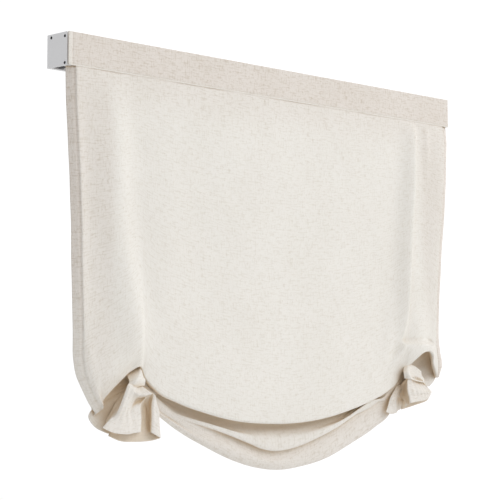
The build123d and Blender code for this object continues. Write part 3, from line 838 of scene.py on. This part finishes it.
@dataclass
class Swag:
    """The two loops that hang behind and below the panel, and the hem behind them.

    Each curve holds x and the drop below the rail's underside, in millimetres.
    """

    layout: Layout
    columns: int = 220
    rows: int = 110
    fold_a: Points = (
        (-343, 526), (-327, 536), (-298, 547), (-251, 564), (-203, 578), (-142, 593), (-105, 597),
        (-23, 601), (51, 599), (133, 588), (204, 574), (262, 558), (305, 540), (343, 520),
    )
    fold_b: Points = (
        (-343, 530), (-320, 548), (-280, 564), (-220, 588), (-155, 611), (-113, 625), (-81, 635),
        (-47, 646), (-11, 651), (35, 647), (91, 633), (160, 609), (203, 590), (250, 568), (300, 547),
        (343, 526),
    )
    fold_c: Points = (
        (-343, 536), (-322, 558), (-296, 580), (-262, 600), (-233, 615), (-176, 640), (-117, 663),
        (-56, 679), (10, 686), (70, 681), (136, 668), (204, 643), (274, 612), (316, 582), (343, 534),
    )
    hem: Points = (
        (-343, 532), (-300, 545), (-200, 575), (-80, 600), (20, 606), (120, 596), (230, 566), (310, 540),
        (343, 530),
    )

    def grid(self) -> tuple[np.ndarray, np.ndarray]:
        """Both loops as one cloth that folds back and forth, and how much painted shade each place takes.
        """
        reach = self.layout.column - 1 * MM
        turn = np.linspace(-1, 1, self.columns)
        x = reach * np.sin(turn * pi / 2) * 0.35 + reach * turn * 0.65
        drops = {}
        for name in ("fold_a", "fold_b", "fold_c", "hem"):
            knots = np.array(getattr(self, name), float) * MM
            drops[name] = through(knots[:, 0], knots[:, 1], x)
        a, b, c, hem = drops["fold_a"], drops["fold_b"], drops["fold_c"], drops["hem"]
        free = step(0.0, 0.10, reach - np.abs(x))
        loose = free * step(-0.28, -0.10, x)
        # Depth in millimetres and drop in metres of each line across the swag, from its top to its hem
        rows = (
            (-56, a - 34 * MM * free), (-51, a - 10 * MM * free), (-51, a + 3 * MM * free),
            (-58, a + 14 * MM * free),
            (-66, a * 0.4 + b * 0.6), (-67, b - 8 * MM * free), (-64, b), (-60, b - 2 * MM * free),
            (-57, b - 8 * MM * free), (-56, b - 1 * MM * free), (-58, b + 10 * MM * free),
            (-62, b * 0.4 + c * 0.6), (-60, c - 7 * MM * free), (-53, c), (-45, c - 6 * MM * free),
            (-39, c * 0.6 + hem * 0.4), (-38.5, hem + 6 * MM * free), (-39, hem),
        )
        # On the left the two loops run together into one, which falls straight from top to bottom
        top, foot = 3, 12
        lines = []
        for place, (y, drop) in enumerate(rows):
            if top < place < foot:
                share = (place - top) / (foot - top)
                plain = rows[top][1] * (1 - share) + rows[foot][1] * share
                drop = plain + (drop - plain) * loose
                y = (-58 - 5 * sin(pi * share) + 3 * share) * (1 - loose) + y * loose
            knot = KNOT_DEPTH / MM + 0.25 * place
            depth = (knot + (y - knot) * (free * 0.9 + 0.1)) * MM
            lines.append(np.stack([x, depth, self.layout.low - drop], axis=1))
        table = np.stack(lines)
        at = lengths(table[:, self.columns // 2])
        grid = through(at, table, np.linspace(0, at[-1], self.rows))
        grid[..., 1] -= ripple(grid[..., 0], grid[..., 2], 2.2) * 0.8 * MM * free[None, :]
        # Painted shade: some over the whole swag, more from the second fold down
        painted_shade = 0.2 + 0.4 * step(-2 * MM, 8 * MM, self.layout.low - grid[..., 2] - b[None, :])
        return grid, painted_shade


@dataclass
class Tail:
    """A tail: the cloth beside a column, gathered at the tied rings and fanned out in pleats.

    Each pleat holds a point near the gather, one at its waist and one at its hem, as millimetres
    from the knot, and how far it is tucked in between the first two.
    """

    knot: Sequence[float]
    pleats: Sequence[tuple[Points, float]]
    columns: int = 200
    rows: int = 80

    def grid(self) -> np.ndarray:
        """The tail as one pleated cloth, from the knot to the hem."""
        table = np.array([[*points] for points, _ in self.pleats], float).transpose(1, 0, 2) * MM
        tuck = np.array([dip for _, dip in self.pleats], float)[:, None] * MM * np.array([0.8, 1.0, 0.1])
        upper, waist, hem = table
        shoulder, skirt = upper * 0.6 + waist * 0.4 + tuck, waist * 0.45 + hem * 0.55
        rows = np.stack([upper * 0.2, upper * 0.7, upper, shoulder, waist, skirt, hem])
        at = lengths(waist + hem)
        at = np.linspace(0, at[-1], len(at)) * 0.4 + at * 0.6
        places = np.linspace(0, at[-1], self.columns)
        wide = through(at, rows.transpose(1, 0, 2), places).transpose(1, 0, 2)
        down = np.linspace(0, 1, self.rows)
        grid = through((0, 0.14, 0.22, 0.31, 0.43, 0.72, 1.0), wide, down)
        wave = np.sin(places / at[-1] * 2 * pi * 23 + 3 * np.sin(places / at[-1] * 9))
        grid[..., 1] += 1.1 * MM * wave[None, :] * np.sin(pi * down[:, None]) * (1 - 0.7 * down[:, None])
        return grid + np.array(self.knot)


@dataclass
class Shell:
    """Cloth that opens like a shell beside a column: rays from the knot to an outer edge.

    The edge is in millimetres from the knot. The middle of the shell sinks back by the hollow.
    """

    knot: Sequence[float]
    edge: Points
    hollow: float
    start: float = 0.05
    columns: int = 70
    rows: int = 44

    def grid(self) -> np.ndarray:
        """The shell, by ray and distance from the knot."""
        edge = np.array(self.edge, float) * MM
        line = through(lengths(edge), edge, np.linspace(0, lengths(edge)[-1], self.columns))
        share = np.linspace(self.start, 1, self.rows)[:, None, None]
        grid = np.array(self.knot) + line[None] * share
        aside = np.linspace(0, 1, self.columns)[None, :]
        grid[..., 1] += self.hollow * MM * np.sin(pi * share[..., 0]) * np.sin(pi * aside)
        grid[..., 1] += 1.2 * MM * np.sin(aside * 31) * share[..., 0] * (1 - share[..., 0]) * 4
        return grid


@dataclass
class Pinch:
    """A small crumpled place in the cloth, given by rows of points in millimetres from the knot."""

    knot: Sequence[float]
    table: Sequence[Points]
    columns: int = 40
    rows: int = 30

    def grid(self) -> np.ndarray:
        """The crumple as a smooth patch."""
        table = np.array(self.table, float) * MM
        for size in (self.columns, self.rows):
            knots = np.arange(table.shape[1])
            table = through(knots, table.transpose(1, 0, 2), np.linspace(0, knots[-1], size))
        return table + np.array(self.knot)


@dataclass
class LinenBlind(Maker):
    """All of the linen below the heading: one cut cloth, held here as its panel, swag and tails."""

    thickness: float = 1.0 * MM
    # Width and length of the linen that each part takes up
    panel_cut: tuple[float, float] = (1.04, 0.64)
    swag_cut: tuple[float, float] = (0.686, 0.22)
    tails_cut: tuple[float, float] = (0.354, 0.22)

    LEFT_PLEATS = (
        (((-22, 6, -8), (-42, 6, -28), (-66, 8, -62)), 0),
        (((-20, 2, -8), (-42, 2, -32), (-72, 2, -68)), 0),
        (((-28, -8, -6), (-54, -14, -40), (-88, -14, -72)), 0),
        (((-41, -20, -2), (-68, -26, -46), (-103, -30, -74)), 0),
        (((-36, -24, -8), (-60, -30, -46), (-83, -32, -82)), 0),
        (((-28, -28, -18), (-44, -25, -44), (-52, -32, -85)), 7),
        (((-14, -30, -20), (-29, -21, -38), (-34, -31, -83)), 14),
        (((0, -29, -18), (-13, -21, -33), (-21, -29, -82)), 15),
        (((8, -24, -18), (-2, -8, -31), (-8, -10, -82)), 8),
        (((12, -12, -16), (14, 0, -32), (20, 8, -84)), 0),
        (((18, -8, -18), (22, -2, -32), (26, 4, -84)), 0),
        (((24, -14, -20), (18, -14, -32), (18, -12, -84)), 0),
        (((28, -10, -22), (32, -12, -40), (38, -11, -92)), 0),
        (((30, 0, -22), (42, 0, -42), (53, 5, -94)), 0),
        (((22, 4, -20), (24, 2, -44), (26, 0, -98)), 0),
        (((4, 4, -20), (-4, 2, -46), (-8, 0, -99)), 0),
        (((-14, 4, -18), (-34, 2, -49), (-44, -3, -97)), 0),
        (((-24, 4, -14), (-54, 0, -50), (-74, -8, -88)), 0),
    )
    RIGHT_PLEATS = (
        (((-12, 0, -4), (-36, -6, -24), (-54, -8, -54)), 0),
        (((-9, -3, -8), (-29, -8, -27), (-39, -8, -58)), 0),
        (((-6, -4, -8), (-18, -5, -28), (-22, -7, -56)), 0),
        (((2, 2, -6), (0, 6, -24), (0, 8, -52)), 0),
        (((6, 0, -4), (12, 7, -22), (25, 6, -42)), 0),
        (((2, -12, 4), (-4, -20, -8), (2, -20, -38)), 0),
        (((-4, -20, 10), (-13, -28, -8), (-9, -32, -37)), 0),
        (((6, -25, 14), (8, -31, -9), (15, -32, -34)), 4),
        (((18, -26, 14), (30, -29, -10), (40, -30, -31)), 8),
        (((34, -24, 10), (56, -23, -12), (58, -25, -25)), 8),
        (((42, -18, 6), (70, -17, -12), (70, -18, -21)), 2),
        (((44, -6, 4), (72, -2, -10), (80, 0, -32)), 0),
        (((36, 4, 2), (48, 8, -10), (49, 8, -42)), 0),
        (((14, 6, -2), (16, 8, -20), (11, 9, -50)), 0),
    )
    LEFT_SHELL = (
        (9, 6, 34), (-22, 10, 24), (-54, 12, -4), (-80, 13, -34), (-100, 12, -57), (-91, 11, -70),
        (-69, 8, -82), (-50, 4, -88),
    )
    RIGHT_SHELL = (
        (91, 2, -4), (108, 5, 6), (121, 9, 17), (131, 12, 32), (130, 16, 52), (108, 20, 76), (70, 20, 84),
        (30, 18, 70),
    )
    LEFT_PINCH = (
        ((-20, 12, 22), (-8, 10, 28), (2, 8, 33), (10, 10, 30)),
        ((-25, 4, 15), (-9, -4, 20), (0, -5, 23), (12, 4, 20)),
        ((-31, -10, 5), (-20, -18, 8), (-8, -14, 10), (11, -2, 10)),
        ((-35, -14, -2), (-24, -19, -1), (-9, -15, 2), (9, -7, 4)),
        ((-36, -10, -8), (-24, -13, -9), (-8, -11, -6), (8, -6, -4)),
    )

    RIGHT_PINCH = (
        ((2, -8, 36), (14, -9, 40), (32, -9, 36), (56, -6, 26)),
        ((-6, -12, 28), (2, -18, 30), (19, -13, 26), (50, -12, 18)),
        ((-12, -18, 20), (-5, -26, 20), (11, -19, 17), (50, -18, 10)),
        ((-10, -18, 11), (-2, -25, 10), (14, -27, 7), (46, -22, 3)),
    )

    def _hang(self, cloth: Cloth, flat: tuple[float, float], rests_on: list[str]) -> bpy.types.Object:
        """Fixes one part of the linen to the blind.

        Args:
            cloth: the finished cloth.
            flat: the width and length it takes of the cut linen.
            rests_on: the pieces it hangs from; not used.

        Returns:
            The piece.
        """
        piece = cloth.build()
        log.info("%s: area %.3f m2, cut %.3f m2", piece.name, cloth.area, flat[0] * flat[1])
        self.finishes.put(piece, Finish.LINEN)
        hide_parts("face_fabric")
        shorten(piece)
        return piece

    def build(self) -> list[bpy.types.Object]:
        """Makes the linen: the panel, the swag behind it and the two tails."""
        layout = self.layout
        left, right = ((side * layout.column, KNOT_DEPTH, layout.gather + KNOT_RISE) for side in (-1, 1))
        panel, swag, tails = (Cloth(f"linen_{part}", self.thickness) for part in ("panel", "swag", "tails"))
        panel.add(*Panel(layout).grid())
        swag.add(*Swag(layout).grid())
        # Painted shade: some all over the tails, shells and pinches, and more on the backs of the pleated
        # tails, which lie within closed folds
        tails.add(Tail(left, self.LEFT_PLEATS).grid(), 0.3, 1.0)
        tails.add(Tail(right, self.RIGHT_PLEATS, columns=150).grid(), 0.4, 1.0)
        tails.add(Shell(left, self.LEFT_SHELL, 5).grid(), 0.2)
        tails.add(Shell(right, self.RIGHT_SHELL, 22).grid(), 0.2)
        tails.add(Pinch(left, self.LEFT_PINCH).grid(), 0.1)
        tails.add(Pinch(right, self.RIGHT_PINCH).grid(), 0.1)
        rings = ["gather_rings_left", "gather_rings_right"]
        return [
            self._hang(panel, self.panel_cut, ["heading_cloth"]),
            self._hang(swag, self.swag_cut, rings),
            self._hang(tails, self.tails_cut, rings),
        ]


@dataclass
class Stitches(Maker):
    """Rows of small hand stitches in the linen's own thread."""

    thread: float = 0.28 * MM
    proud: float = 0.55 * MM
    sunk: float = 0.25 * MM
    hem_pitch: float = 17 * MM
    hem_stitch: float = 4.5 * MM
    seam_pitch: float = 9 * MM
    seam_stitch: float = 3.2 * MM
    # From the rail's underside up to the seam's stitches
    seam_rise: float = 4.2 * MM

    def _row(
        self, tubes: Tubes, line: np.ndarray, pitch: float, length: float, lift: Sequence[float]
    ) -> None:
        """Sews one row along a line.

        Args:
            tubes: the set of threads to add to.
            line: points along the cloth's surface.
            pitch: distance from stitch to stitch.
            length: of each stitch.
            lift: the way out of the cloth.
        """
        far = lengths(line)
        arch = np.sin(np.linspace(0, pi, 6))[:, None] * self.proud - self.sunk
        for start in np.arange(pitch, far[-1] - pitch, pitch):
            along = start + np.linspace(0, length, 6)
            place = np.stack([np.interp(along, far, line[:, axis]) for axis in range(3)], axis=1)
            tubes.add(place + np.array(lift) * arch, self.thread)

    def build(self) -> list[bpy.types.Object]:
        """Makes the stitches of the side hems and of the heading, all hung on the rail."""
        panel = Panel(self.layout)
        grid, _ = panel.grid()
        hems, seam = Tubes("side_stitches", 6), Tubes("heading_stitches", 6)
        for column, out in ((3, (-0.6, -0.8, 0.0)), (-3, (0.35, -0.94, 0.0))):
            self._row(hems, grid[4 : panel.rows - 12, column], self.hem_pitch, self.hem_stitch, out)
        half, front, low = self.layout.half, self.layout.front, self.layout.low
        places = np.linspace(-half + 3 * MM, half - 20 * MM, 60)
        line = np.array([(x, front - 0.1 * MM, low + self.seam_rise) for x in places])
        self._row(seam, line, self.seam_pitch, self.seam_stitch, (0.0, -1.0, 0.0))
        pieces = [hems.build(), seam.build()]
        for piece in pieces:
            self.finishes.put(piece, Finish.CORD)
        shorten(pieces[0])
        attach(pieces[1], "rail")
        return pieces


@dataclass
class HeadingCloth(Maker):
    """The band of linen folded in two layers over the rail's front, and the seam under it."""

    layer: float = 0.7 * MM
    cut_length: float = 118 * MM
    # The narrow turnings at the band's left and right ends
    left_turning: float = 9 * MM
    right_turning: float = 17.5 * MM

    def _section(self) -> np.ndarray:
        """The folded strip's outside as y and z: up the back, over, down the front, round the seam."""
        front, back, low, top = self.layout.front, self.layout.back, self.layout.low, self.layout.top
        middle, radius = (front + back) / 2, (back - front) / 2
        turn = np.radians(np.linspace(0, 180, 9))
        over = np.stack([middle + radius * np.cos(turn), top - radius + radius * np.sin(turn)], axis=1)
        heights = np.linspace(top - 2 * radius, low + 3 * MM, 26)
        face = np.stack([np.full(26, front), heights], axis=1)
        turn = np.radians(np.linspace(90, 250, 9))
        welt = np.array([front + 0.3 * MM, low + 1.2 * MM])
        welt = welt + np.stack([0.8 * MM * np.cos(turn), 1.4 * MM * np.sin(turn)], axis=1)
        rise = np.stack([np.full(4, back), np.linspace(low, top - 3 * MM, 4)], axis=1)
        return np.concatenate([rise, over, face, welt])

    def _band_shade(self, x: np.ndarray, section: np.ndarray) -> np.ndarray:
        """Painted shade on the band, which lies in two layers and lets less light through: full, but less
        in its seam and at its turned ends.
        """
        seam = step(self.layout.low + 1 * MM, self.layout.low + 5 * MM, section[:, 1])
        ends = step(6 * MM, 9 * MM, x + self.layout.half)
        return (0.35 + 0.65 * seam)[:, None] * (0.3 + 0.7 * ends)[None, :]

    def build(self) -> list[bpy.types.Object]:
        """Makes the band."""
        layout, half, section = self.layout, self.layout.half, self._section()
        end = np.concatenate([[0.0, 0.35], np.linspace(0.9, 26, 34)]) * MM
        x = np.linspace(-half + 28 * MM, half - 28 * MM, 280)
        x = np.concatenate([end - half, x, half - end[::-1]])
        points = np.zeros((len(section), len(x), 3))
        points[..., 0] = x[None, :]
        points[..., 1:] = section[:, None, :]
        front = section[:, 0] < (layout.back + layout.front) / 2
        # The two layers close up at the ends, and each turning leaves a step in the front
        edge = np.minimum(half - np.abs(x), 1 * MM) / MM
        closed = 0.3 * MM * (1 - np.sqrt(np.clip(edge, 0, 1)))
        from_left, from_right = x + half - self.left_turning, x - half + self.right_turning
        turned = 0.9 * MM * np.exp(-((from_right / (1.6 * MM)) ** 2))
        turned = turned + 0.4 * MM * step(-0.5 * MM, 2.5 * MM, from_right)
        turned = turned + 0.7 * MM * np.exp(-((from_left / (1.4 * MM)) ** 2))
        waves = ripple(points[front, :, 0], points[front, :, 2], 4.1) * 0.35 * MM
        points[front, :, 1] += closed + turned - waves
        points[~front, :, 1] -= closed
        cloth = Cloth("heading_cloth", self.layer)
        cloth.add(points, self._band_shade(x, section))
        piece = cloth.build()
        self.finishes.put(piece, Finish.LINEN)
        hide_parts("heading_band")
        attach(piece, "rail")
        2 * half
        return [piece]


@dataclass
class LiningCloth(Maker):
    """The plain lining behind the linen, with a turned hem at its sides and foot."""

    thickness: float = 0.5 * MM
    hem_width: float = 18 * MM
    # Drop and half width, in millimetres: the rings draw the foot together
    edge: Points = ((0, 468), (150, 461), (300, 452), (400, 440), (450, 412), (500, 372), (546, 346))

    def build(self) -> list[bpy.types.Object]:
        """Makes the lining."""
        layout = self.layout
        drop_end = layout.low - layout.lining_low
        across = np.linspace(-1, 1, 161)[None, :]
        drop = drop_end * np.linspace(0, 1, 111)[:, None]
        edge = np.array(self.edge, float) * MM
        side = through(edge[:, 0], edge[:, 1], drop[:, 0])[:, None]
        x = across * side
        inner = np.minimum(side - np.abs(x), drop_end - drop)
        hem = 1 - step(0.0, 1.2 * MM, inner - self.hem_width)
        y = layout.lining_front + 0.1 * MM * ripple(x, drop, 7.7)
        cloth = Cloth("back_lining", self.thickness)
        # Painted shade: the turned hem at the sides and foot is painted darker
        cloth.add(np.stack(np.broadcast_arrays(x, y, layout.low - drop - 0.2 * MM), axis=2), hem * 0.8)
        piece = cloth.build()
        self.finishes.put(piece, Finish.LINING)
        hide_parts("lining")
        shorten(piece)
        return [piece]


@dataclass
class LiftCords(Maker):
    """The two lift cords, from their spools through the rings to their stops."""

    radius: float = 0.7 * MM

    def _line(self, hand: str) -> np.ndarray:
        """The cord's route, as its NURBS curve gives it, from the spool to the stop."""
        low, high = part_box(f"lift_cord_{hand}")
        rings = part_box("ring_row_upper")
        x, inner = (low.x + high.x) / 2, (rings[0].y + rings[1].y) / 2
        start_y = high.y - self.radius
        route = [(x, start_y, high.z), (x, inner, (rings[0].z + rings[1].z) / 2), (x, inner, low.z)]
        curve = bpy.data.curves.new("route", "CURVE")
        curve.dimensions = "3D"
        spline = curve.splines.new("NURBS")
        spline.points.add(len(route) - 1)
        for point, where in zip(spline.points, route):
            point.co = (*where, 1.0)
        spline.order_u, spline.use_endpoint_u, spline.resolution_u = 3, True, 60
        holder = bpy.data.objects.new("route", curve)
        mesh = bpy.data.meshes.new_from_object(holder)
        line = np.array([vertex.co for vertex in mesh.vertices])
        bpy.data.meshes.remove(mesh)
        bpy.data.objects.remove(holder)
        bpy.data.curves.remove(curve)
        return line

    def build(self) -> list[bpy.types.Object]:
        """Makes both cords."""
        pieces = []
        for hand in ("left", "right"):
            line = self._line(hand)
            tubes = Tubes(f"cord_{hand}", 12)
            tubes.add(line, self.radius)
            piece = tubes.build()
            self.finishes.put(piece, Finish.CORD)
            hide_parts(f"lift_cord_{hand}")
            shorten(piece)
            pieces.append(piece)
        return pieces


@dataclass
class RingThreads(Maker):
    """The thread that holds each ring to the lining, and the tie round the three lowest rings."""

    thread: float = 0.3 * MM
    tie: float = 0.35 * MM
    # Half depth and half height of the loops that sew a ring on, and half depth of the tie
    sewn: tuple[float, float] = (1.9 * MM, 1.7 * MM)
    tie_reach: float = 1.6 * MM

    @staticmethod
    def _loop(centre: Sequence[float], deep: float, tall: float, turns: int) -> np.ndarray:
        """A loop of thread.

        Args:
            centre: its middle.
            deep: half its depth, towards the wall.
            tall: half its height.
            turns: how often the thread goes round, a little further across each time.

        Returns:
            Points along the thread.
        """
        turn = np.linspace(0, 2 * pi * turns, 24 * turns + 1)
        drift = np.linspace(-0.5, 0.5, len(turn)) * 0.6 * MM * (turns - 1)
        x, y, z = centre
        return np.stack([x + drift, y + deep * np.cos(turn), z + tall * np.sin(turn)], axis=1)

    def _sewing(self, level: str) -> bpy.types.Object:
        """The threads of one row of rings."""
        low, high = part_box(f"ring_row_{level}")
        tubes = Tubes(f"thread_{level}_rings", 6)
        for side in (-1, 1):
            middle = (side * self.layout.column, self.layout.lining_front + 1.0 * MM, (low.z + high.z) / 2)
            tubes.add(self._loop(middle, *self.sewn, 3), self.thread)
        return tubes.build()

    def _ties(self) -> bpy.types.Object:
        """The ties round the lowest rings of both columns."""
        tubes = Tubes("tie_threads", 6)
        for hand in ("left", "right"):
            low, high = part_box(f"gather_rings_{hand}")
            middle = ((low.x + high.x) / 2, low.y + 1.0 * MM, (low.z + high.z) / 2)
            tubes.add(self._loop(middle, self.tie_reach, (high.z - low.z) / 2 + 0.4 * MM, 4), self.tie)
        return tubes.build()

    def build(self) -> list[bpy.types.Object]:
        """Makes the threads, each on the body of its own rings."""
        pieces = {f"{level}_rings": self._sewing(level) for level in ("upper", "middle", "lower")}
        pieces["tied_rings"] = self._ties()
        for body, piece in pieces.items():
            self.finishes.put(piece, Finish.CORD)
            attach(piece, body)
        return list(pieces.values())


@dataclass(frozen=True)
class Studio:
    """A pale floor, soft light all round and the camera."""

    camera: tuple[float, float, float] = (-2.327, -2.331, -0.572)
    yaw: float = 44.8
    pitch: float = 4.55
    lens: float = 126.9
    floor: float = -1.3
    floor_radius: float = 5.0
    lamp: tuple[float, float, float] = (1.6, -2.4, 1.5)
    lamp_size: float = 1.8
    lamp_power: float = 22.0
    lamp_aim: tuple[float, float, float] = (0.0, -0.06, -0.3)

    def build(self) -> None:
        """Makes the camera, the floor and the light."""
        bpy.context.scene.view_settings.view_transform = "Standard"
        self._camera()
        self._floor()
        self._sky()
        self._lamp()

    def _camera(self) -> None:
        """The camera, at the blind's left and a little below it."""
        scene = bpy.context.scene
        camera = bpy.data.cameras.new("camera")
        camera.lens, camera.sensor_width, camera.clip_end = self.lens, 36.0, 50.0
        holder = bpy.data.objects.new("camera", camera)
        holder.location = self.camera
        holder.rotation_euler = (radians(90 + self.pitch), 0, radians(-self.yaw))
        scene.collection.objects.link(holder)
        scene.camera = holder

    def _floor(self) -> None:
        """A wide round floor in pale paint."""
        turn = np.linspace(0, 2 * pi, 96, endpoint=False)
        points = [(self.floor_radius * cos(a), self.floor_radius * sin(a), self.floor) for a in turn]
        floor = new_object("floor", new_mesh("floor", points, [list(range(len(points)))]))
        paint = Coating("floor_paint", (0.86, 0.86, 0.85), 0.7, grain=60.0, variation=0.01)
        floor.data.materials.append(paint.material())

    def _sky(self) -> None:
        """Light from all round: brighter from the right and from above."""
        world = bpy.data.worlds.new("sky")
        bpy.context.scene.world = world
        shader = Shader(world)
        x, _, z = shader.axes(shader.node("ShaderNodeTexCoord").outputs["Generated"])
        inputs = {"Color": (1.0, 1.0, 1.0, 1.0), "Strength": 0.80 + x * 0.38 + z * 0.24}
        light = shader.node("ShaderNodeBackground", None, inputs)
        shader.node("ShaderNodeOutputWorld", None, {"Surface": light.outputs[0]})

    def _lamp(self) -> None:
        """A soft square lamp that faces the blind."""
        lamp = bpy.data.lights.new("key", "AREA")
        lamp.size, lamp.energy = self.lamp_size, self.lamp_power
        holder = bpy.data.objects.new("key", lamp)
        holder.location = self.lamp
        bpy.context.scene.collection.objects.link(holder)
        across, into, up = (end - start for end, start in zip(self.lamp_aim, self.lamp))
        holder.rotation_euler = (atan2(hypot(across, into), -up), 0.0, atan2(into, across) - pi / 2)


def main() -> None:
    """Builds the studio and every piece."""
    logging.basicConfig(level=logging.INFO, format="%(message)s")
    Studio().build()
    layout, finishes = Layout.read(), Finishes()
    finishes.dress_frame(frame["record"], frame["nodes"])
    for maker in (LiftCords, Stitches, RingThreads, HeadingCloth, LinenBlind, LiningCloth):
        for piece in maker(layout, finishes).build():
            log.info("%s: %d points", piece.name, len(piece.data.vertices))


if __name__ == "__main__":
    main()
